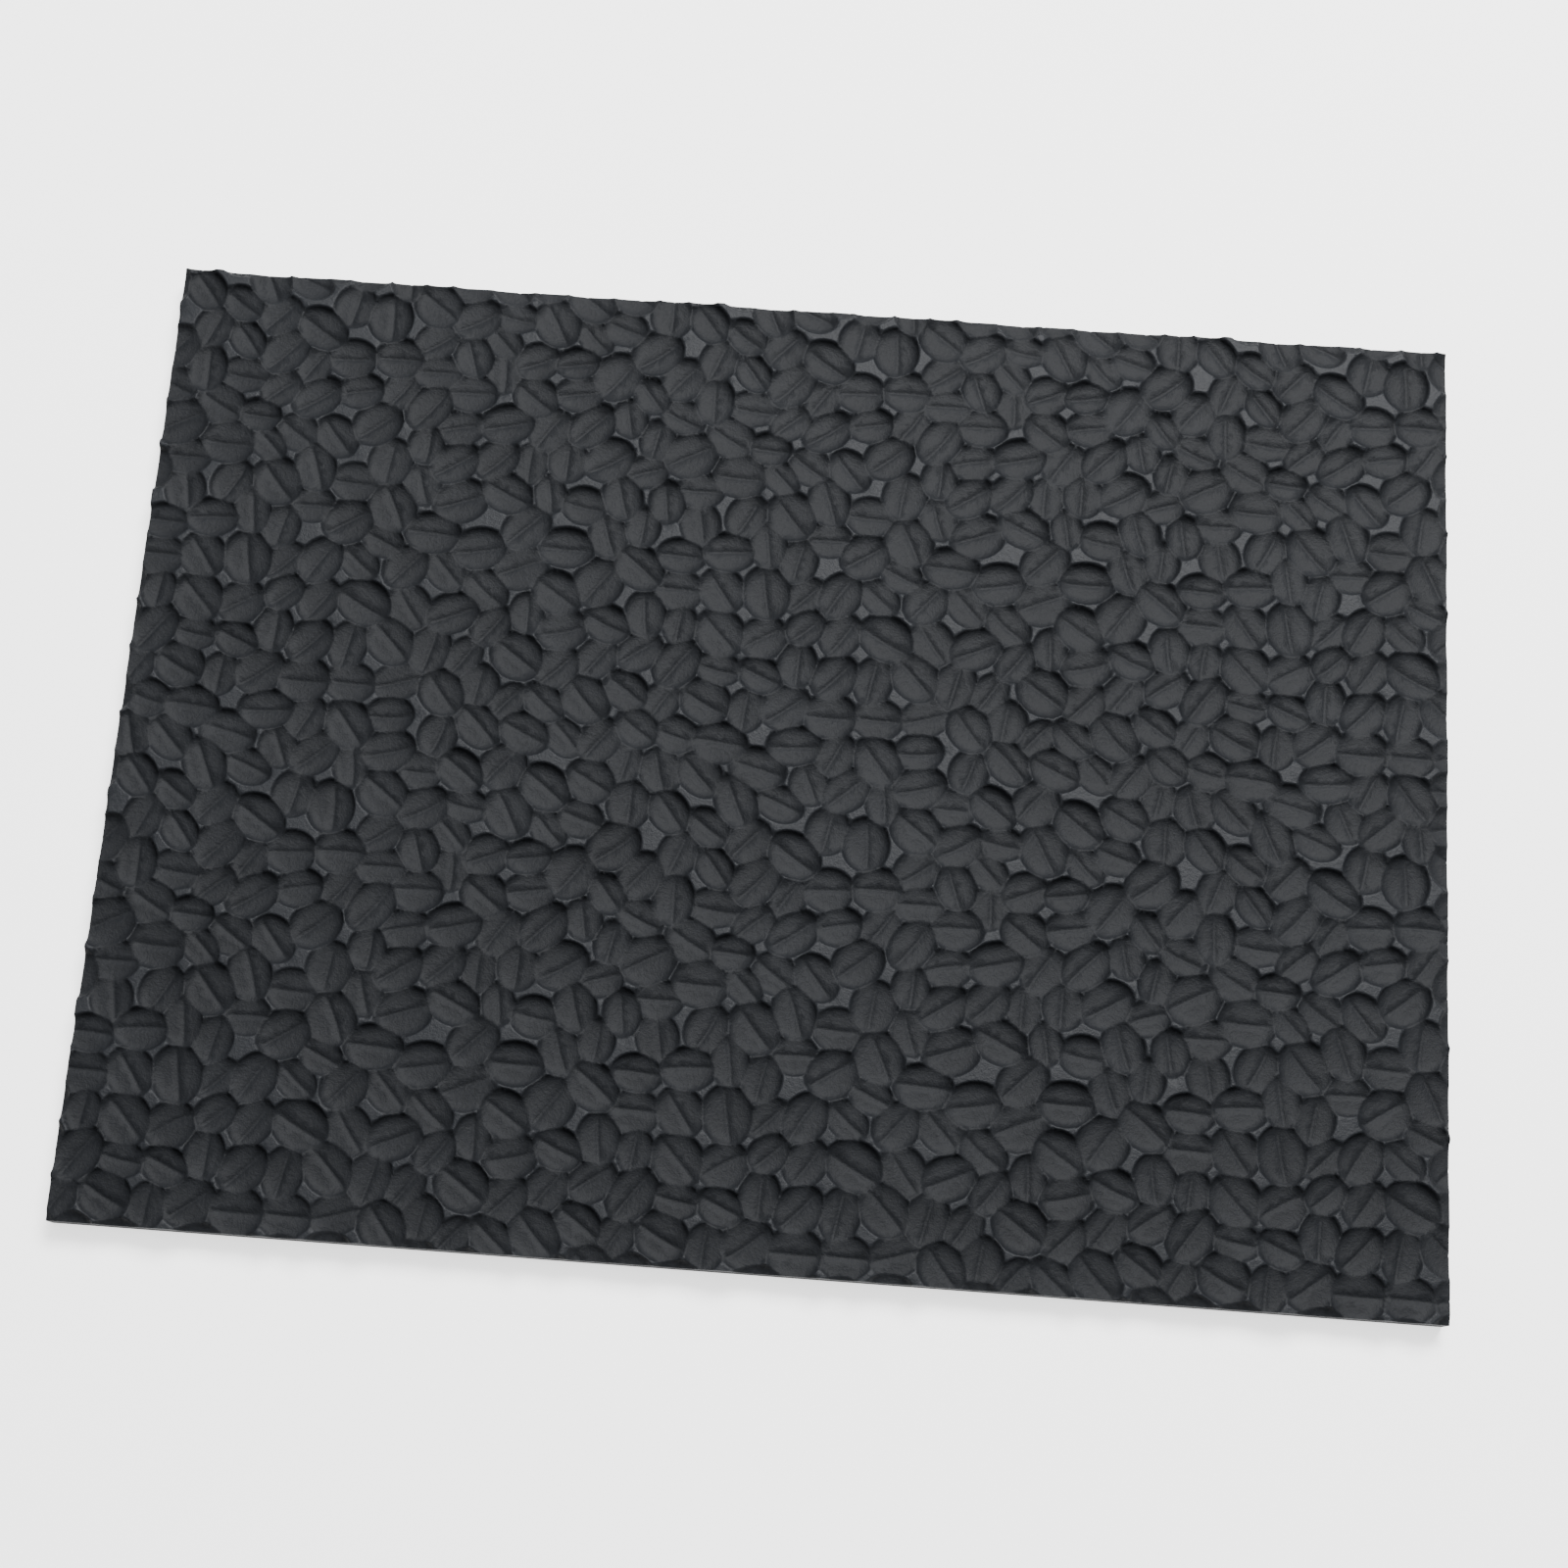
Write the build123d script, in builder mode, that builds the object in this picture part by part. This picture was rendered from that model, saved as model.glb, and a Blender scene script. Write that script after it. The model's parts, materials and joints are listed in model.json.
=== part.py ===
"""A flexible rubber heat mat for seed trays: two rubber sheets bonded over a heating wire.

Origin at the middle of the footprint on the underside. +X runs along the long side, +Y points to
the back edge, where the lead enters, and +Z points up. All sizes are in millimetres.
"""
from build123d import *
import os

os.makedirs("parts", exist_ok=True)

# ---- the mat ----
mat_length = 400.0
mat_width = 300.0
mat_thick = 10.0
rim_width = 12.0            # bonded border all round
bottom_cover_thick = 1.5

# ---- inner stack, from the bottom up ----
foam_thick = 1.3
reflector_thick = 0.1
film_thick = 0.2
tape_thick = 0.15
spreader_thick = 0.1
stack_clearance = 0.5       # between the stack and the rim

# ---- heating wire ----
wire_core_d = 0.5
wire_jacket_d = 1.4
wire_clearance = 0.05       # above and below the jacket
bore_clearance = 0.03       # radial, between a conductor and what surrounds it
wire_rows = 12              # even, so that both ends finish at the same side
wire_margin = 12.5          # from the edge of the stack to the outermost wire
wire_bend = 9.0             # largest radius of a bend
tape_width = 14.0
tape_inset = 45.0           # from the wire's turns to the outer tapes
tape_overlap = 6.0          # past the first and last rows

# ---- cord gland ----
cord_bore_d = 4.0
cord_bore_length = 16.0
gland_wall = 0.65           # above and below the bore
gland_neck_width = 14.0
gland_flange_width = 24.0
gland_flange_depth = 8.0

# ---- leads, splices and thermal cut-out ----
lead_core_d = 0.8
lead_jacket_d = 1.6
lead_gap = 0.4              # between the two leads where they enter the gland
lead_hole_clearance = 0.05  # radial
lead_bend = 5.0
lead_drop = 12.0            # from the gland's flange to the row of splices
crimp_length = 7.0
crimp_start = 16.0          # from the middle of the mat to the first crimp
crimp_grip = 3.0            # how far a conductor goes into its crimp
strip_gap = 0.5             # bare conductor between a jacket and its crimp
sleeve_wall = 0.2
sleeve_overlap = 2.5        # past each end of the crimp
cutout_length = 8.0
cutout_width = 5.0
cutout_height = 2.2
cutout_corner = 0.8
cutout_lead_d = 0.7
cutout_lead_gap = 4.0       # between a crimp and the cut-out's case
bay_side_gap = 3.0          # from the last sleeve to the side of the terminal bay
bay_front_gap = 8.0         # from the row of splices to the front of the bay
riser_gap = 10.5            # from the side of the bay to the wire's riser
bay_to_wire = 12.0          # from the front of the bay to the first row of wire

# ---- heights ----
foam_low = bottom_cover_thick
reflector_low = foam_low + foam_thick
lower_film_low = reflector_low + reflector_thick
wire_low = lower_film_low + film_thick + wire_clearance
wire_z = wire_low + wire_jacket_d / 2
tape_low = wire_low + wire_jacket_d + wire_clearance
upper_film_low = tape_low + tape_thick
spreader_low = upper_film_low + film_thick
top_cover_low = spreader_low + spreader_thick
top_cover_thick = mat_thick - top_cover_low
gland_height = cord_bore_d + 2 * gland_wall
gland_low = wire_z - gland_height / 2

# ---- places in plan ----
back_y = mat_width / 2
rim_inner_x = mat_length / 2 - rim_width
rim_inner_y = back_y - rim_width
stack_length = 2 * (rim_inner_x - stack_clearance)
stack_width = 2 * (rim_inner_y - stack_clearance)
flange_y = rim_inner_y - gland_flange_depth
bore_end_y = back_y - cord_bore_length
lead_pitch = lead_jacket_d + lead_gap
splice_y = flange_y - lead_drop
crimp_d = max(lead_jacket_d, wire_jacket_d)     # flush with the thicker of the two jackets
sleeve_bore = crimp_d + 2 * bore_clearance
crimp_pitch = crimp_length + 2 * cutout_lead_gap + cutout_length
cutout_crimp_start = crimp_start + crimp_pitch
cutout_start = crimp_start + crimp_length + cutout_lead_gap
bay_left_x = -(cutout_crimp_start + crimp_length + sleeve_overlap + bay_side_gap)
bay_right_x = crimp_start + crimp_length + sleeve_overlap + bay_side_gap
bay_front_y = splice_y - bay_front_gap
riser_x = riser_gap - bay_left_x
first_row_y = bay_front_y - bay_to_wire
last_row_y = wire_margin - stack_width / 2
row_pitch = (first_row_y - last_row_y) / (wire_rows - 1)
wire_edge_x = stack_length / 2 - wire_margin
right_turn_x = wire_edge_x - row_pitch


def save(piece, name):
    """Label a finished piece and write it under the same name."""
    piece.part.label = name
    export_step(piece.part, f"parts/{name}.step")


def gland_outline(low):
    """The gland's plan at height low: a neck through the rim and a wider flange inside it."""
    with BuildSketch(Plane.XY.offset(low)) as outline:
        with Locations((0, back_y - rim_width / 2)):
            Rectangle(gland_neck_width, rim_width)
        with Locations((0, rim_inner_y - gland_flange_depth / 2)):
            Rectangle(gland_flange_width, gland_flange_depth)
    return outline.sketch


def make_cover(name, low, thick, pocket_low, pocket_high):
    """An outer rubber sheet with a shallow pocket that seats the gland."""
    with BuildPart() as cover:
        with BuildSketch(Plane.XY.offset(low)):
            Rectangle(mat_length, mat_width)
        extrude(amount=thick)
        extrude(gland_outline(pocket_low), amount=pocket_high - pocket_low, mode=Mode.SUBTRACT)
    save(cover, name)


def make_rim(name, low_x, low_y, high_x, high_y):
    """A strip of the bonded border, between the two outer sheets."""
    with BuildPart() as strip:
        with BuildSketch(Plane.XY.offset(bottom_cover_thick)):
            with Locations(((low_x + high_x) / 2, (low_y + high_y) / 2)):
                Rectangle(high_x - low_x, high_y - low_y)
        extrude(amount=top_cover_low - bottom_cover_thick)
    save(strip, name)


def make_layer(name, low, thick):
    """A sheet of the inner stack, notched at its back edge round the terminal bay."""
    notch_depth = stack_width / 2 - bay_front_y
    with BuildPart() as layer:
        with BuildSketch(Plane.XY.offset(low)):
            Rectangle(stack_length, stack_width)
            with Locations(((bay_left_x + bay_right_x) / 2, bay_front_y + notch_depth / 2)):
                Rectangle(bay_right_x - bay_left_x, notch_depth, mode=Mode.SUBTRACT)
        extrude(amount=thick)
    save(layer, name)


def bend_radii(points, largest):
    """One radius for each corner: as large as its two runs allow, and no larger than stated."""
    runs = [(Vector(*b) - Vector(*a)).length for a, b in zip(points, points[1:])]
    return [min(largest, 0.45 * min(pair)) for pair in zip(runs, runs[1:])]


def make_wire(name, points, radii, outer_d, inner_d=0.0):
    """A round wire along a flat route, or the hollow jacket on one."""
    with BuildPart() as wire:
        with BuildLine(Plane.XY.offset(wire_z)) as route:
            FilletPolyline(*points, radius=radii)
        with BuildSketch(Plane(origin=route.line @ 0, z_dir=route.line % 0)):
            Circle(outer_d / 2)
            if inner_d:
                Circle(inner_d / 2, mode=Mode.SUBTRACT)
        sweep(path=route.line)
    save(wire, name)


def heating_route(start_x, end_x):
    """Corners of the heating wire: down a riser, back and forth, and home along the right side."""
    points = [(start_x, splice_y), (-riser_x, splice_y), (-riser_x, first_row_y)]
    points.append((-wire_edge_x, first_row_y))
    for row in range(1, wire_rows):
        y = first_row_y - row * row_pitch
        last = row == wire_rows - 1
        right = (wire_edge_x if last else right_turn_x, y)
        left = (-wire_edge_x, y)
        points += [left, right] if row % 2 else [right, left]
    points += [(wire_edge_x, first_row_y), (riser_x, first_row_y)]
    return points + [(riser_x, splice_y), (end_x, splice_y)]


def lead_route(side, end_x):
    """Corners of a cold lead: from the bottom of the cord's bore to its crimp on that side."""
    x = side * lead_pitch / 2
    return [(x, bore_end_y), (x, splice_y), (side * end_x, splice_y)]


def bar(low_x, high_x, diameter, mode=Mode.ADD):
    """A round bar along X on the row of splices."""
    with BuildSketch(Plane.YZ.offset(low_x)) as section:
        with Locations((splice_y, wire_z)):
            Circle(diameter / 2)
    extrude(section.sketch, amount=high_x - low_x, mode=mode)


def make_splice(place, low_x, left_d, right_d):
    """A crimp barrel bored for one conductor from each end, and the shrink sleeve over it."""
    middle = low_x + crimp_length / 2
    high_x = low_x + crimp_length
    with BuildPart() as crimp:
        bar(low_x, high_x, crimp_d)
        bar(low_x, middle, left_d + 2 * bore_clearance, Mode.SUBTRACT)
        bar(middle, high_x, right_d + 2 * bore_clearance, Mode.SUBTRACT)
    save(crimp, f"splice_crimp_{place}")
    with BuildPart() as sleeve:
        bar(low_x - sleeve_overlap, high_x + sleeve_overlap, sleeve_bore + 2 * sleeve_wall)
        bar(low_x - sleeve_overlap, high_x + sleeve_overlap, sleeve_bore, Mode.SUBTRACT)
    save(sleeve, f"shrink_sleeve_{place}")


# ---- outer sheets, border and gland ----
make_cover("bottom_cover", 0, bottom_cover_thick, gland_low, bottom_cover_thick)
make_cover("top_cover", top_cover_low, top_cover_thick, top_cover_low, gland_low + gland_height)

make_rim("rim_front", -mat_length / 2, -back_y, mat_length / 2, -rim_inner_y)
make_rim("rim_left", -mat_length / 2, -rim_inner_y, -rim_inner_x, rim_inner_y)
make_rim("rim_right", rim_inner_x, -rim_inner_y, mat_length / 2, rim_inner_y)
make_rim("rim_back_left", -mat_length / 2, rim_inner_y, -gland_neck_width / 2, back_y)
make_rim("rim_back_right", gland_neck_width / 2, rim_inner_y, mat_length / 2, back_y)

with BuildPart() as cord_gland:
    extrude(gland_outline(gland_low), amount=gland_height)
    with BuildSketch(Plane.XZ.offset(-back_y)):
        with Locations((0, wire_z)):
            Circle(cord_bore_d / 2)
    extrude(amount=cord_bore_length, mode=Mode.SUBTRACT)
    with BuildSketch(Plane.XZ.offset(-bore_end_y)):
        with Locations((-lead_pitch / 2, wire_z), (lead_pitch / 2, wire_z)):
            Circle(lead_jacket_d / 2 + lead_hole_clearance)
    extrude(amount=bore_end_y - flange_y, mode=Mode.SUBTRACT)
save(cord_gland, "cord_gland")

# ---- inner stack ----
make_layer("insulation_foam", foam_low, foam_thick)
make_layer("reflector_foil", reflector_low, reflector_thick)
make_layer("lower_film", lower_film_low, film_thick)
make_layer("upper_film", upper_film_low, film_thick)
make_layer("spreader_foil", spreader_low, spreader_thick)

with BuildPart() as fixing_tapes:
    with BuildSketch(Plane.XY.offset(tape_low)):
        tape_y = (first_row_y + last_row_y) / 2
        tape_xs = (tape_inset - wire_edge_x, 0, right_turn_x - tape_inset)
        with Locations(*[(x, tape_y) for x in tape_xs]):
            Rectangle(tape_width, first_row_y - last_row_y + 2 * tape_overlap)
    extrude(amount=tape_thick)
save(fixing_tapes, "fixing_tapes")

# ---- heating wire ----
cutout_crimp_end = cutout_crimp_start + crimp_length
lead_crimp_end = crimp_start + crimp_length
core_route = heating_route(crimp_grip - cutout_crimp_end, lead_crimp_end - crimp_grip)
jacket_route = heating_route(-cutout_crimp_end - strip_gap, lead_crimp_end + strip_gap)
wire_radii = bend_radii(jacket_route, wire_bend)
make_wire("heating_wire_core", core_route, wire_radii, wire_core_d)
make_wire("heating_wire_jacket", jacket_route, wire_radii, wire_jacket_d,
          wire_core_d + 2 * bore_clearance)

# ---- cold leads, splices and thermal cut-out ----
for side, place in ((-1, "live"), (1, "return")):
    bare_route = lead_route(side, crimp_start + crimp_grip)
    covered_route = lead_route(side, crimp_start - strip_gap)
    lead_radii = bend_radii(covered_route, lead_bend)
    make_wire(f"lead_core_{place}", bare_route, lead_radii, lead_core_d)
    make_wire(f"lead_jacket_{place}", covered_route, lead_radii, lead_jacket_d,
              lead_core_d + 2 * bore_clearance)

make_splice("live", -lead_crimp_end, cutout_lead_d, lead_core_d)
make_splice("cutout", -cutout_crimp_end, wire_core_d, cutout_lead_d)
make_splice("return", crimp_start, lead_core_d, wire_core_d)

with BuildPart() as thermal_cutout:
    with BuildSketch(Plane.XY.offset(wire_z - cutout_height / 2)):
        with Locations((-cutout_start - cutout_length / 2, splice_y)):
            RectangleRounded(cutout_length, cutout_width, cutout_corner)
    extrude(amount=cutout_height)
save(thermal_cutout, "thermal_cutout")

with BuildPart() as cutout_leads:
    bar(-cutout_start, crimp_grip - lead_crimp_end, cutout_lead_d)
    bar(-cutout_crimp_start - crimp_grip, -cutout_start - cutout_length, cutout_lead_d)
save(cutout_leads, "cutout_leads")
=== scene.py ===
import json
import math

import bmesh
import bpy
import numpy as np
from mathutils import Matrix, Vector
from mathutils.geometry import delaunay_2d_cdt


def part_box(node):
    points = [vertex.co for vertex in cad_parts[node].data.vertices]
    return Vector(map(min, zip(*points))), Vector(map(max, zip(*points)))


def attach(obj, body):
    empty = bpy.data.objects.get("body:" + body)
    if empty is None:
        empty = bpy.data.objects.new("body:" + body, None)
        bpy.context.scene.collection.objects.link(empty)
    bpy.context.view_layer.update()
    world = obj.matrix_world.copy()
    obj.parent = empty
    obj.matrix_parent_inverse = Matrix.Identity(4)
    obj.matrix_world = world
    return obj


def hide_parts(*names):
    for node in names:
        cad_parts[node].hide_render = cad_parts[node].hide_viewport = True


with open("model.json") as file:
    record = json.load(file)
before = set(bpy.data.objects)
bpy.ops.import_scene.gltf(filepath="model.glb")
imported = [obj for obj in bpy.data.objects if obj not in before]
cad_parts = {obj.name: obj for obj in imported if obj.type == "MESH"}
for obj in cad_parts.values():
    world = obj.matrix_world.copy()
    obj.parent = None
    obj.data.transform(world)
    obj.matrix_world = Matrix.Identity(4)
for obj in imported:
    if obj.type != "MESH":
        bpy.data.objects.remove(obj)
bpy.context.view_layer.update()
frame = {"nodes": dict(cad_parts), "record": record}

MM = 0.001

# ---- the impressions in the top cover, in millimetres ----
TILE = 160.0                # the pattern repeats at this pitch, both ways
OVALS_ACROSS = 13           # this many, squared, in each repeat
PATTERN_SEED = 24
LARGE_SHARE = 0.5           # of the ovals are large
LARGE_HALF = (8.0, 9.3)     # from the middle to the rim, lengthways
SMALL_HALF = (6.9, 8.0)
SLIMNESS = (0.74, 0.90)     # half-width as a share of half-length
CROWDING = (0.81, 0.91)     # gap of two neighbours, as a share of the gap when they just touch
RELAX_STEPS = 300
RELAX_RATE = 0.3            # share of an overlap that one step takes away from each oval
FAVOURED_TURNS = (0, 90, 45, -45)   # degrees
FAVOURED_SHARE = 0.55       # of the ovals lie near one of the favoured turns
TURN_SPREAD = 0.14          # radians, around a favoured turn
DEPTH_STEPS = (2.6, 2.3, 2.0, 1.65, 1.25)
FLOOR_TILT = 0.025          # typical slope of an oval's floor
WALL_SHARE = 0.8            # of the depth, taken by a steep wall at the rim
WALL_POWER = 12.0           # how steep the wall is; the rest of the depth is a bowl
CREASE_DEPTH = 0.55         # below the floor of the oval
CREASE_DEPTH_RANGE = (0.75, 1.05)   # of that depth, from one oval to another
CREASE_HALF_WIDTH = 0.5
CREASE_REACH = 0.95         # share of the oval's length that the crease crosses
CREASE_BOW = 0.6            # largest sideways bow of a crease
CREASE_SHIFT = 0.25         # typical distance of a crease from the middle
RIDGE_BLEND = 0.12          # rounding where two ovals meet below the lands
LIP_ROUND = 0.08            # the blended relief is raised by this, then cut off at the lands
PATTERN_START = 0.3         # of a repeat, that is cut off by the front and left edges

# ---- mesh spacing, in millimetres ----
RIM_STEP = 1.4              # along a rim
CREASE_STEP = 1.6           # along a crease
EDGE_STEP = 0.75            # along the mat's edges
EDGE_CLEAR = 0.45           # of EDGE_STEP, kept free of other points beside the edges
CREASE_CLEAR = 1.3          # beside a crease, kept free of ring points
LEAST_GAP = 0.4             # no two points of the relief are nearer than this
LEAST_RING = 1.2            # smallest radius of a ring's point
# rings of points around an oval: how far inside its rim, and every how many points
RIM_RINGS = ((0.0, 1), (0.42, 1), (-0.42, 1))
FLOOR_RINGS = ((0.95, 2), (1.8, 3), (3.2, 4), (5.0, 5))


# ---------------------------------------------------------------- pattern
def wrapped(delta):
    """A difference of places within the repeat, to the nearest copy."""
    return (delta + TILE / 2) % TILE - TILE / 2


def rim_radius(ovals, direction):
    """Distance from each oval's centre to its rim in a direction."""
    along = np.cos(direction - ovals["turn"])
    across = np.sin(direction - ovals["turn"])
    return ovals["a"] * ovals["b"] / np.hypot(ovals["b"] * along, ovals["a"] * across)


def packed_ovals():
    """Seeded ovals, pushed apart until they only cut into each other a little."""
    rng = np.random.default_rng(PATTERN_SEED)
    count = OVALS_ACROSS ** 2
    cell = TILE / OVALS_ACROSS
    grid = np.stack(np.meshgrid(np.arange(OVALS_ACROSS), np.arange(OVALS_ACROSS)), -1)
    place = (grid.reshape(-1, 2) + rng.uniform(0, 1, (count, 2))) * cell
    large = rng.random(count) < LARGE_SHARE
    a = np.where(large, rng.uniform(*LARGE_HALF, count), rng.uniform(*SMALL_HALF, count))
    favoured = rng.choice(np.radians(FAVOURED_TURNS), count) + rng.normal(0, TURN_SPREAD, count)
    free = rng.uniform(-math.pi / 2, math.pi / 2, count)
    ovals = {
        "a": a,
        "b": a * rng.uniform(*SLIMNESS, count),
        "turn": np.where(rng.random(count) < FAVOURED_SHARE, favoured, free),
        "bow": rng.uniform(-CREASE_BOW, CREASE_BOW, count),
        "shift": rng.normal(0, CREASE_SHIFT, count),
        "crease": CREASE_DEPTH * rng.uniform(*CREASE_DEPTH_RANGE, count),
        "tilt": rng.normal(0, FLOOR_TILT, (count, 2)),
    }
    spacing = rng.uniform(*CROWDING, (count, count))
    spacing = np.triu(spacing) + np.triu(spacing, 1).T
    rows = {key: value[:, None] for key, value in ovals.items() if value.ndim == 1}
    columns = {key: value[None, :] for key, value in ovals.items() if value.ndim == 1}
    for _ in range(RELAX_STEPS):
        away = wrapped(place[None, :, :] - place[:, None, :])
        distance = np.hypot(away[..., 0], away[..., 1])
        np.fill_diagonal(distance, TILE)
        direction = np.arctan2(away[..., 1], away[..., 0])
        reach = rim_radius(rows, direction) + rim_radius(columns, direction)
        push = RELAX_RATE * np.clip(spacing * reach - distance, 0, None) / distance
        place = place - (push[..., None] * away).sum(axis=1)
    ovals["place"] = place % TILE
    ovals["depth"] = stepped_depths(a, distance < reach)
    return ovals


def stepped_depths(a, cutting):
    """Depths such that no two ovals that cut into each other share a step.

    The deeper of two then keeps its whole outline. The largest ovals choose first.
    """
    step = np.full(len(a), -1)
    for i in np.argsort(-a):
        taken = set(step[cutting[i]])
        free = [s for s in range(len(DEPTH_STEPS)) if s not in taken]
        step[i] = free[0] if free else len(DEPTH_STEPS) // 2
    return np.array(DEPTH_STEPS)[step]


def crease_offset(oval, u):
    """How far the crease lies to one side of the oval's long axis, at u along it."""
    return oval["shift"] + oval["bow"] * (1 - (u / oval["a"]) ** 2)


def oval_depth(oval, u, v):
    """Signed depth of one oval at its own (u, v): below the lands inside it, above outside."""
    share = np.hypot(u / oval["a"], v / oval["b"]) + 1e-9
    radius = np.hypot(u, v) / share
    inward = radius * (1 - share)
    inside = np.clip(1 - share, 0, 1)
    wall = 1 - (1 - inside) ** WALL_POWER
    bowl = 1 - (1 - inside) ** 2
    floor = -oval["depth"] * (WALL_SHARE * wall + (1 - WALL_SHARE) * bowl)
    slope = oval["depth"] * (WALL_SHARE * WALL_POWER + 2 * (1 - WALL_SHARE)) / radius
    height = np.where(inward > 0, floor, -inward * slope)
    height = height + inside * (oval["tilt"][0] * u + oval["tilt"][1] * v)
    fade = np.clip(1 - np.abs(u / (CREASE_REACH * oval["a"])) ** 5, 0, 1)     # at both ends
    sideways = np.abs(v - crease_offset(oval, u)) / CREASE_HALF_WIDTH
    groove = np.clip(1 - sideways, 0, 1) ** 1.15
    return height - oval["crease"] * fade * groove


def one_oval(ovals, i):
    """The i-th oval's own values."""
    return {key: value[i] for key, value in ovals.items()}


def to_oval(oval, x, y):
    """Places in the repeat, as distances along and across the oval."""
    dx = wrapped(x - oval["place"][0])
    dy = wrapped(y - oval["place"][1])
    c, s = math.cos(oval["turn"]), math.sin(oval["turn"])
    return dx * c + dy * s, dy * c - dx * s


def from_oval(oval, u, v):
    """The reverse of to_oval."""
    c, s = math.cos(oval["turn"]), math.sin(oval["turn"])
    return oval["place"][0] + u * c - v * s, oval["place"][1] + u * s + v * c


def relief(ovals, x, y):
    """Height of the patterned face against the lands, at places in the repeat."""
    total = np.ones(x.shape)        # the lands, at height 0
    for i in range(len(ovals["a"])):
        oval = one_oval(ovals, i)
        u, v = to_oval(oval, x, y)
        near = np.hypot(u, v) < oval["a"] + 3 * RIDGE_BLEND + 1
        total[near] += np.exp(-oval_depth(oval, u[near], v[near]) / RIDGE_BLEND)
    blended = -RIDGE_BLEND * np.log(total)
    return np.minimum(blended + LIP_ROUND, 0.0)


def deepest_other(ovals, i, x, y):
    """Lowest depth that any oval but the i-th gives at these places."""
    lowest = np.full(x.shape, 10.0)     # higher than any
    apart = wrapped(ovals["place"] - ovals["place"][i])
    reach = 2.3 * LARGE_HALF[1]         # no oval farther off cuts into this one
    for j in np.nonzero(np.hypot(apart[:, 0], apart[:, 1]) < reach)[0]:
        if j != i:
            other = one_oval(ovals, j)
            lowest = np.minimum(lowest, oval_depth(other, *to_oval(other, x, y)))
    return lowest


def feature_points(ovals):
    """Mesh points of one repeat, the most telling first: creases, rims, ridges, then rings."""
    creases, rims, rings = [], [], []
    for i in range(len(ovals["a"])):
        oval = one_oval(ovals, i)
        reach = CREASE_REACH * oval["a"]
        u = np.linspace(-reach, reach, int(2 * reach / CREASE_STEP) + 2)
        for side in (0, -1, 1):
            v = crease_offset(oval, u) + side * CREASE_HALF_WIDTH
            x, y = from_oval(oval, u, v)
            mine = oval_depth(oval, u, v) < deepest_other(ovals, i, x, y)
            creases.append(np.stack([x[mine], y[mine]], -1))
        steps = int(2 * math.pi * oval["a"] / RIM_STEP)
        angle = np.arange(steps) * 2 * math.pi / steps
        radius = rim_radius({"a": oval["a"], "b": oval["b"], "turn": 0.0}, angle)
        near, far = 0.35 * radius, radius.copy()    # it lies between these
        for _ in range(11):         # outline where this oval stops being the deepest
            middle = (near + far) / 2
            u, v = middle * np.cos(angle), middle * np.sin(angle)
            x, y = from_oval(oval, u, v)
            inside = oval_depth(oval, u, v) < deepest_other(ovals, i, x, y)
            near = np.where(inside, middle, near)
            far = np.where(inside, far, middle)
        for inset, stride in RIM_RINGS + FLOOR_RINGS:
            r = (far - inset)[::stride]
            u, v = r * np.cos(angle[::stride]), r * np.sin(angle[::stride])
            off_crease = np.abs(v - crease_offset(oval, u)) > CREASE_CLEAR
            keep = (r > LEAST_RING) & (off_crease | (inset < 1.0))
            x, y = from_oval(oval, u, v)
            bucket = rims if (inset, stride) in RIM_RINGS else rings
            bucket.append(np.stack([x[keep], y[keep]], -1))
    return np.concatenate(creases + rims + rings) % TILE


def thinned(points, gap):
    """Points with none nearer than gap to one before it in the list."""
    cells, kept = {}, []
    for x, y in points:
        column, row = int(x // gap), int(y // gap)
        crowded = False
        for c in (column - 1, column, column + 1):
            for r in (row - 1, row, row + 1):
                for px, py in cells.get((c, r), ()):
                    if (px - x) ** 2 + (py - y) ** 2 < gap * gap:
                        crowded = True
        if not crowded:
            cells.setdefault((column, row), []).append((x, y))
            kept.append((x, y))
    return np.array(kept)


# ---------------------------------------------------------------- top cover
def sheet_points(ovals, low, high):
    """Points of the whole face: the edges evenly, then every copy of the repeat inside them."""
    width, depth = high[0] - low[0], high[1] - low[1]
    columns, rows = round(width / EDGE_STEP), round(depth / EDGE_STEP)
    xs = np.linspace(low[0], high[0], columns + 1)
    ys = np.linspace(low[1], high[1], rows + 1)
    edge = [(x, low[1]) for x in xs[:-1]] + [(high[0], y) for y in ys[:-1]]
    edge += [(x, high[1]) for x in xs[:0:-1]] + [(low[0], y) for y in ys[:0:-1]]
    tile = thinned(feature_points(ovals), LEAST_GAP)
    inner = []
    for across in range(math.ceil(width / TILE) + 1):
        for up in range(math.ceil(depth / TILE) + 1):
            inner.append(tile + np.array([across, up]) * TILE + pattern_origin(low))
    inner = np.concatenate(inner)
    margin = EDGE_CLEAR * EDGE_STEP
    inside = (inner[:, 0] > low[0] + margin) & (inner[:, 0] < high[0] - margin)
    inside &= (inner[:, 1] > low[1] + margin) & (inner[:, 1] < high[1] - margin)
    return np.array(edge), inner[inside]


def pattern_origin(low):
    """Where the first repeat starts, in front and to the left of the mat's front left corner."""
    return np.array([low[0], low[1]]) - PATTERN_START * TILE


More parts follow.
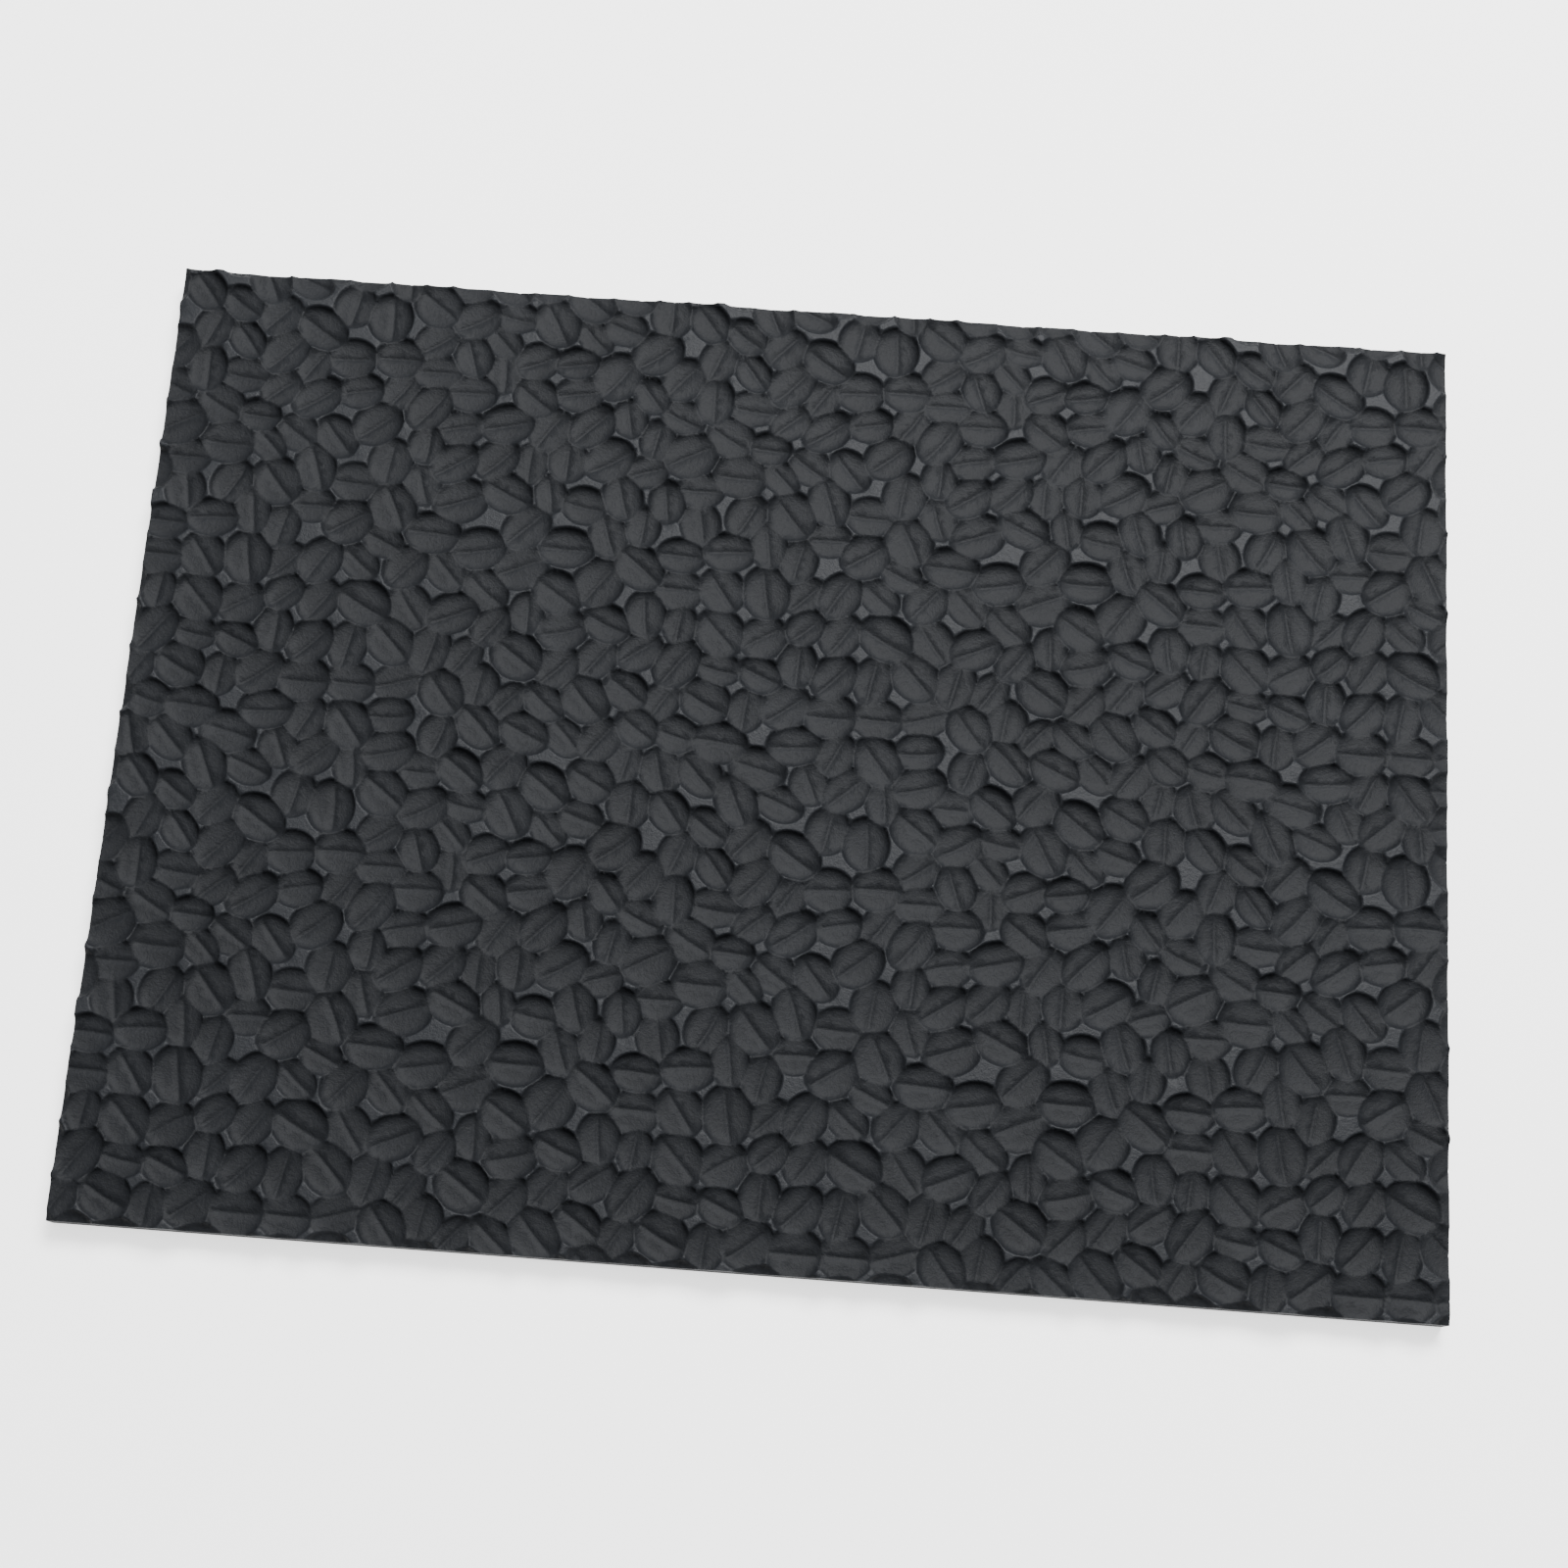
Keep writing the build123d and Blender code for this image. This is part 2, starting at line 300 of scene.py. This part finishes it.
def make_top_cover():
    """The upper rubber sheet: patterned face, cut edges, and a pocket over the gland."""
    low, high = (np.array(c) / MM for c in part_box("top_cover"))
    gland_low, gland_high = (np.array(c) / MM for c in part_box("cord_gland"))
    half_neck, shoulder_y, _ = np.array(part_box("rim_back_right")[0]) / MM
    ovals = packed_ovals()
    edge, inner = sheet_points(ovals, low, high)
    flat = np.concatenate([edge, inner])
    start = pattern_origin(low)
    height = relief(ovals, (flat[:, 0] - start[0]) % TILE, (flat[:, 1] - start[1]) % TILE)
    corners, _, faces, *_ = delaunay_2d_cdt([Vector(p) for p in flat], [], [], 0, 1e-7)
    assert len(corners) == len(flat)        # none was merged, so the faces' indices still hold

    mesh = bmesh.new()
    top = [mesh.verts.new((x, y, high[2] + z)) for (x, y), z in zip(flat, height)]
    for face in faces:
        mesh.faces.new([top[i] for i in face])

    # the cut edge: each point of the face's outline drops to the underside, or over the
    # gland's neck to the top of the gland
    at_neck = [abs(y - high[1]) < 1e-6 and abs(x) < half_neck for x, y in edge]
    foot = [mesh.verts.new((x, y, gland_high[2] if over else low[2]))
            for (x, y), over in zip(edge, at_neck)]
    count = len(edge)
    first = at_neck.index(True)
    last = count - 1 - at_neck[::-1].index(True)
    roof_right = mesh.verts.new((half_neck, high[1], gland_high[2]))
    roof_left = mesh.verts.new((-half_neck, high[1], gland_high[2]))
    sole_right = mesh.verts.new((half_neck, high[1], low[2]))
    sole_left = mesh.verts.new((-half_neck, high[1], low[2]))
    for i in range(count):
        j = (i + 1) % count
        if at_neck[i] == at_neck[j]:
            mesh.faces.new([top[i], foot[i], foot[j], top[j]])
        elif at_neck[j]:
            mesh.faces.new([top[i], foot[i], sole_right, roof_right, foot[j], top[j]])
        else:
            mesh.faces.new([top[i], foot[i], roof_left, sole_left, foot[j], top[j]])

    # the pocket over the gland, T-shaped in plan, and the underside around it
    flange_x, flange_y = gland_high[0], gland_low[1]
    plan = [(half_neck, shoulder_y), (flange_x, shoulder_y), (flange_x, flange_y),
            (-flange_x, flange_y), (-flange_x, shoulder_y), (-half_neck, shoulder_y)]
    roof = [mesh.verts.new((x, y, gland_high[2])) for x, y in plan]
    sole = [mesh.verts.new((x, y, low[2])) for x, y in plan]
    roof_line = [roof_right] + roof + [roof_left]
    sole_line = [sole_right] + sole + [sole_left]
    for k in range(len(roof_line) - 1):
        mesh.faces.new([roof_line[k], sole_line[k], sole_line[k + 1], roof_line[k + 1]])
    mesh.faces.new(roof_line + [foot[i] for i in range(last, first - 1, -1)])
    outside = [foot[i] for i in range(first - 1, -1, -1)]
    outside += [foot[i] for i in range(count - 1, last, -1)]
    mesh.faces.new(list(reversed(sole_line)) + outside)

    bmesh.ops.triangulate(mesh, faces=[f for f in mesh.faces if len(f.verts) > 4])
    bmesh.ops.recalc_face_normals(mesh, faces=mesh.faces)
    for face in mesh.faces:                 # the patterned face is smooth, the rest is flat
        face.smooth = face.normal.z > 0.05
    for line in mesh.edges:
        line.smooth = len({f.smooth for f in line.link_faces}) == 1
    bmesh.ops.scale(mesh, vec=(MM, MM, MM), verts=mesh.verts)
    data = bpy.data.meshes.new("embossed_top_cover")
    mesh.to_mesh(data)
    mesh.free()
    cover = bpy.data.objects.new("embossed_top_cover", data)
    bpy.context.scene.collection.objects.link(cover)
    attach(cover, "root")
    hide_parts("top_cover")
    return cover


# ---------------------------------------------------------------- materials
def new_material(name, roughness, metallic=0.0, **sockets):
    """A node material with its uniform values on the shader, and object coordinates."""
    material = bpy.data.materials.new(name)
    material.use_nodes = True
    tree = material.node_tree
    shader = tree.nodes["Principled BSDF"]
    shader.inputs["Roughness"].default_value = roughness
    shader.inputs["Metallic"].default_value = metallic
    for socket, value in sockets.items():
        shader.inputs[socket].default_value = value
    place = tree.nodes.new("ShaderNodeTexCoord")
    return material, tree, shader, place.outputs["Object"]


def noise(tree, place, scale, detail=3.0, rough=0.55, stretch=None):
    """A noise texture over the object; stretch scales it unevenly."""
    node = tree.nodes.new("ShaderNodeTexNoise")
    node.inputs["Scale"].default_value = scale
    node.inputs["Detail"].default_value = detail
    node.inputs["Roughness"].default_value = rough
    if stretch:
        mapping = tree.nodes.new("ShaderNodeMapping")
        mapping.inputs["Scale"].default_value = stretch
        tree.links.new(place, mapping.inputs["Vector"])
        place = mapping.outputs["Vector"]
    tree.links.new(place, node.inputs["Vector"])
    return node.outputs["Fac"]


def ramp(tree, factor, low, high, dark, light):
    """A colour that goes from dark to light as factor goes from low to high."""
    node = tree.nodes.new("ShaderNodeValToRGB")
    node.color_ramp.elements[0].position = low
    node.color_ramp.elements[0].color = (*dark, 1)
    node.color_ramp.elements[1].position = high
    node.color_ramp.elements[1].color = (*light, 1)
    tree.links.new(factor, node.inputs["Fac"])
    return node.outputs["Color"]


def span(tree, value, from_low, from_high, to_low, to_high):
    """Maps one range of values to another."""
    node = tree.nodes.new("ShaderNodeMapRange")
    node.inputs["From Min"].default_value = from_low
    node.inputs["From Max"].default_value = from_high
    node.inputs["To Min"].default_value = to_low
    node.inputs["To Max"].default_value = to_high
    tree.links.new(value, node.inputs["Value"])
    return node.outputs["Result"]


def mixed(tree, factor, one, other, blend="MIX"):
    """Two colours mixed by a factor, which is a number or a socket."""
    node = tree.nodes.new("ShaderNodeMix")
    node.data_type = "RGBA"
    node.blend_type = blend
    if isinstance(factor, (int, float)):
        node.inputs[0].default_value = factor
    else:
        tree.links.new(factor, node.inputs[0])
    tree.links.new(one, node.inputs[6])
    tree.links.new(other, node.inputs[7])
    return node.outputs[2]


def bump(tree, shader, *layers):
    """Adds bump to the shader, one layer on another: (height, strength, distance in metres)."""
    normal = None
    for height, strength, distance in layers:
        node = tree.nodes.new("ShaderNodeBump")
        node.inputs["Strength"].default_value = strength
        node.inputs["Distance"].default_value = distance
        tree.links.new(height, node.inputs["Height"])
        if normal:
            tree.links.new(normal, node.inputs["Normal"])
        normal = node.outputs["Normal"]
    tree.links.new(normal, shader.inputs["Normal"])


def rubber(name, dark, light, roughness, lands_at=None):
    """Matte charcoal rubber: fine moulding grain and faint mottling.

    Where lands_at gives the height of the lands, in metres, they are a little smoother and are
    painted paler, as painted light on the tops of the relief.
    """
    material, tree, shader, place = new_material(name, roughness)
    shader.inputs["Specular IOR Level"].default_value = 0.14
    mottle = noise(tree, place, 55, 4)
    grain = noise(tree, place, 2600, 3, 0.6)
    speck = noise(tree, place, 900, 2, 0.7)
    colour = ramp(tree, mottle, 0.3, 0.7, dark, light)
    paler = tuple(min(1, 1.25 * c) for c in light)
    flecks = ramp(tree, speck, 0.42, 0.78, dark, paler)
    colour = mixed(tree, 0.35, colour, flecks)
    if lands_at is not None:
        split = tree.nodes.new("ShaderNodeSeparateXYZ")
        tree.links.new(place, split.inputs[0])
        # painted light: the lands, the tops of the relief, are painted paler than the hollows, as
        # though more light falls on them
        painted_land_light = span(tree, split.outputs["Z"], lands_at - 0.35 * MM, lands_at - 0.05 * MM, 0, 1)
        land = ramp(tree, grain, 0.3, 0.7, tuple(1.1 * c for c in light),
                    tuple(1.4 * c for c in light))
        colour = mixed(tree, painted_land_light, colour, land)
        smooth = span(tree, painted_land_light, 0, 1, roughness, roughness - 0.1)
        tree.links.new(smooth, shader.inputs["Roughness"])
    else:
        tree.links.new(span(tree, speck, 0.3, 0.7, roughness - 0.05, roughness + 0.07),
                       shader.inputs["Roughness"])
    tree.links.new(colour, shader.inputs["Base Color"])
    bump(tree, shader, (grain, 0.5, 0.15 * MM), (speck, 0.5, 0.35 * MM))
    return material


def closed_cell_foam():
    """Grey foam with fine open-cut cells."""
    material, tree, shader, place = new_material("closed_cell_foam", 0.92)
    cells = tree.nodes.new("ShaderNodeTexVoronoi")
    cells.inputs["Scale"].default_value = 1400
    tree.links.new(place, cells.inputs["Vector"])
    tree.links.new(ramp(tree, cells.outputs["Distance"], 0.1, 0.7, (0.30, 0.30, 0.31),
                        (0.16, 0.16, 0.17)), shader.inputs["Base Color"])
    bump(tree, shader, (cells.outputs["Distance"], 0.5, 0.3 * MM))
    return material


def rolled_foil():
    """Bright aluminium foil with rolling lines and faint wrinkles."""
    material, tree, shader, place = new_material("rolled_foil", 0.28, 1.0)
    lines = noise(tree, place, 300, 2, 0.5, (0.05, 6, 1))
    wrinkle = noise(tree, place, 60, 4)
    tree.links.new(ramp(tree, lines, 0.3, 0.7, (0.72, 0.73, 0.74), (0.86, 0.87, 0.88)),
                   shader.inputs["Base Color"])
    tree.links.new(span(tree, lines, 0.3, 0.7, 0.2, 0.36), shader.inputs["Roughness"])
    bump(tree, shader, (wrinkle, 0.3, 0.3 * MM), (lines, 0.1, 0.05 * MM))
    return material


def polyester_film():
    """Amber insulating film, glossy, with faint drawing streaks."""
    material, tree, shader, place = new_material("polyester_film", 0.22)
    shader.inputs["Coat Weight"].default_value = 0.4
    streak = noise(tree, place, 120, 2, 0.5, (0.1, 3, 1))
    tree.links.new(ramp(tree, streak, 0.3, 0.7, (0.55, 0.36, 0.13), (0.68, 0.47, 0.2)),
                   shader.inputs["Base Color"])
    bump(tree, shader, (streak, 0.1, 0.05 * MM))
    return material


def glass_cloth():
    """Off-white woven tape."""
    material, tree, shader, place = new_material("glass_cloth", 0.8)
    threads = []
    for direction in ("X", "Y"):
        wave = tree.nodes.new("ShaderNodeTexWave")
        wave.bands_direction = direction
        wave.inputs["Scale"].default_value = 420
        wave.inputs["Distortion"].default_value = 0.4
        tree.links.new(place, wave.inputs["Vector"])
        threads.append(wave.outputs["Fac"])
    weave = tree.nodes.new("ShaderNodeMath")
    weave.operation = "MAXIMUM"
    tree.links.new(threads[0], weave.inputs[0])
    tree.links.new(threads[1], weave.inputs[1])
    tree.links.new(ramp(tree, weave.outputs[0], 0.2, 0.9, (0.55, 0.53, 0.47), (0.86, 0.84, 0.78)),
                   shader.inputs["Base Color"])
    bump(tree, shader, (weave.outputs[0], 0.5, 0.1 * MM))
    return material


def drawn_metal(name, dark, light, roughness):
    """Drawn or plated metal with fine marks and some tarnish."""
    material, tree, shader, place = new_material(name, roughness, 1.0)
    marks = noise(tree, place, 2200, 3)
    tarnish = noise(tree, place, 260, 4)
    colour = mixed(tree, 0.4, ramp(tree, tarnish, 0.35, 0.7, dark, light),
                   ramp(tree, marks, 0.3, 0.7, dark, light))
    tree.links.new(colour, shader.inputs["Base Color"])
    tree.links.new(span(tree, tarnish, 0.3, 0.7, roughness - 0.08, roughness + 0.14),
                   shader.inputs["Roughness"])
    bump(tree, shader, (marks, 0.15, 0.04 * MM))
    return material


def drawn_jacket(name, dark, light, roughness):
    """Extruded insulation with a faint skin."""
    material, tree, shader, place = new_material(name, roughness)
    skin = noise(tree, place, 1500, 3)
    shade = noise(tree, place, 140, 3)
    colour = mixed(tree, 0.4, ramp(tree, shade, 0.3, 0.7, dark, light),
                   ramp(tree, skin, 0.35, 0.7, dark, light))
    tree.links.new(colour, shader.inputs["Base Color"])
    tree.links.new(span(tree, skin, 0.3, 0.7, roughness - 0.06, roughness + 0.08),
                   shader.inputs["Roughness"])
    bump(tree, shader, (skin, 0.2, 0.05 * MM))
    return material


# by material slot: the dark colour, the light one and the roughness
COLOURS = {
    "embossed_rubber": ((0.0073, 0.0081, 0.0097), (0.0108, 0.0119, 0.0140), 0.6),
    "rubber_sheet": ((0.0080, 0.0085, 0.0095), (0.0120, 0.0127, 0.0140), 0.7),
    "rubber_rim": ((0.0066, 0.0070, 0.0078), (0.0100, 0.0106, 0.0117), 0.76),
    "gland_rubber": ((0.0050, 0.0052, 0.0056), (0.0080, 0.0083, 0.0090), 0.5),
    "resistance_wire": ((0.42, 0.4, 0.37), (0.64, 0.62, 0.59), 0.34),
    "copper": ((0.6, 0.27, 0.15), (0.86, 0.46, 0.3), 0.3),
    "tinned_brass": ((0.52, 0.5, 0.45), (0.74, 0.72, 0.67), 0.32),
    "cutout_case": ((0.5, 0.5, 0.51), (0.7, 0.7, 0.71), 0.3),
    "silicone_jacket": ((0.34, 0.045, 0.03), (0.5, 0.08, 0.05), 0.5),
    "lead_jacket": ((0.02, 0.02, 0.022), (0.04, 0.04, 0.043), 0.42),
    "shrink_tube": ((0.02, 0.024, 0.04), (0.04, 0.046, 0.07), 0.38),
}


def dress(cover):
    """Gives the new piece and every CAD node its material."""
    lands_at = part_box("top_cover")[1][2]
    embossed = rubber("embossed_rubber", *COLOURS["embossed_rubber"], lands_at)
    cover.data.materials.append(embossed)
    by_slot = {"embossed_rubber": embossed}
    for slot in ("rubber_sheet", "rubber_rim", "gland_rubber"):
        by_slot[slot] = rubber(slot, *COLOURS[slot])
    by_slot.update(foam=closed_cell_foam(), foil=rolled_foil(), film=polyester_film(),
                   tape=glass_cloth())
    for slot in ("resistance_wire", "copper", "tinned_brass", "cutout_case"):
        by_slot[slot] = drawn_metal(slot, *COLOURS[slot])
    for slot in ("silicone_jacket", "lead_jacket", "shrink_tube"):
        by_slot[slot] = drawn_jacket(slot, *COLOURS[slot])
    slots = {part["node"]: part["material_slot"] for part in frame["record"]["subparts"]}
    for node, slot in slots.items():
        data = frame["nodes"][node].data
        if not data.materials:
            data.materials.append(by_slot[slot])
        for i in range(len(data.materials)):
            data.materials[i] = by_slot[slot]


# ---------------------------------------------------------------- stage, light and camera
def make_floor():
    """A plain pale floor that glows a little, like a light table, so that it looks white."""
    half, level = 6.0, -0.1 * MM
    data = bpy.data.meshes.new("floor")
    data.from_pydata([(-half, -half, level), (half, -half, level), (half, half, level),
                      (-half, half, level)], [], [(0, 1, 2, 3)])
    floor = bpy.data.objects.new("floor", data)
    bpy.context.scene.collection.objects.link(floor)
    material, tree, shader, place = new_material("pale_floor", 0.9)
    tree.links.new(ramp(tree, noise(tree, place, 3), 0.2, 0.8, (0.92, 0.92, 0.92),
                        (0.94, 0.94, 0.94)), shader.inputs["Base Color"])
    shader.inputs["Emission Color"].default_value = (1, 1, 1, 1)
    shader.inputs["Emission Strength"].default_value = 1.6
    data.materials.append(material)


def make_light(name, place, aim, width, height, power):
    """A soft rectangular light."""
    data = bpy.data.lights.new(name, "AREA")
    data.shape = "RECTANGLE"
    data.size, data.size_y, data.energy = width, height, power
    light = bpy.data.objects.new(name, data)
    light.location = place
    light.rotation_euler = (Vector(aim) - Vector(place)).to_track_quat("-Z", "Y").to_euler()
    bpy.context.scene.collection.objects.link(light)


def make_studio():
    """Large soft light from the back, a broad one from above, and a dim white surround."""
    make_light("back_light", (0.4, 1.05, 1.6), (0, 0, 0), 1.0, 0.8, 88)
    make_light("overhead_light", (0.1, 0.6, 2.4), (0, 0, 0), 2.0, 2.0, 40)
    world = bpy.data.worlds.new("surround")
    world.use_nodes = True
    world.node_tree.nodes["Background"].inputs["Color"].default_value = (1, 1, 1, 1)
    world.node_tree.nodes["Background"].inputs["Strength"].default_value = 0.16
    bpy.context.scene.world = world


def make_camera():
    """Nearly overhead, a little to the front, with the mat turned four degrees in the frame."""
    data = bpy.data.cameras.new("camera")
    data.lens = 55.0
    data.sensor_width = 36.0
    data.shift_x = 0.0257
    camera = bpy.data.objects.new("camera", data)
    camera.location = (0.0037, -0.1955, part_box("top_cover")[1][2] + 0.6912)
    camera.rotation_euler = [math.radians(turn) for turn in (15.302, 0.018, 4.222)]
    bpy.context.scene.collection.objects.link(camera)
    bpy.context.scene.camera = camera


make_camera()
make_studio()
make_floor()
dress(make_top_cover())
